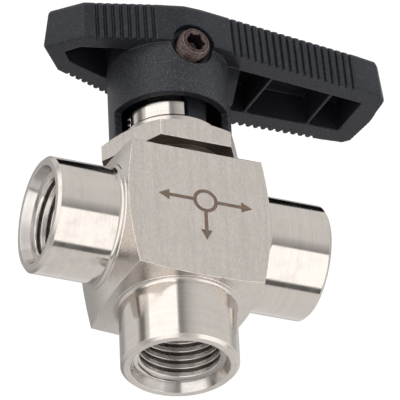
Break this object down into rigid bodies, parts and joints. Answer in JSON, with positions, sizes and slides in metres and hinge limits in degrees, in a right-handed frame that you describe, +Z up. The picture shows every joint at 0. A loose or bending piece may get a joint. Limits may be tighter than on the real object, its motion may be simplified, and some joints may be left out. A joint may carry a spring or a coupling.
{
  "type": "three way valve",
  "caption": "Small stainless three way ball valve: block body with threaded side and bottom ports, hexagonal packing bolt and a black moulded lever that turns the ball between the side ports.",
  "frame": {"origin": "centre of the bottom port's end face, on the axis that the bottom port and the stem share", "axes": "+Z up the stem, +X along the side ports to the right-hand port, -Y out of the body's flat marked face"},
  "size_m": [0.0539, 0.0194, 0.0565],
  "materials": {
    "body_steel": "milled flats with fine brushing, turned ports with a satin sheen",
    "bolt_steel": "turned, bright collar and satin hexagon",
    "bright_steel": "polished",
    "spring_steel": "satin",
    "dark_screw": "black oxide with worn brown edges",
    "black_nylon": "satin moulded nylon with a fine grain",
    "white_ptfe": "waxy, smooth",
    "black_rubber": "matt"
  },
  "bodies": {
    "body": {"valve_body": "body_steel", "packing_bolt": "bolt_steel", "bolt_seal_ring": "black_rubber", "lower_packing": "white_ptfe", "upper_packing": "white_ptfe", "left_seat_disc": "bright_steel", "right_seat_disc": "bright_steel", "bottom_seat_disc": "bright_steel", "left_seat_ring": "white_ptfe", "right_seat_ring": "white_ptfe", "bottom_seat_ring": "white_ptfe", "packing_gland": "bright_steel", "lower_disc_spring": "spring_steel", "upper_disc_spring": "spring_steel", "thrust_ring": "bright_steel", "stem_bushing": "white_ptfe", "thrust_washer": "white_ptfe"},
    "lever": {"ball_stem": "bright_steel", "stem_o_ring": "black_rubber", "handle_insert": "bright_steel", "set_screw": "dark_screw", "handle": "black_nylon"}
  },
  "joints": [
    {"name": "lever_turn", "type": "hinge", "parent": "body", "child": "lever", "pos_m": [0, 0, 0.0214], "axis": [0, 0, 1], "range_deg": [-3.2, 176.8]}
  ]
}
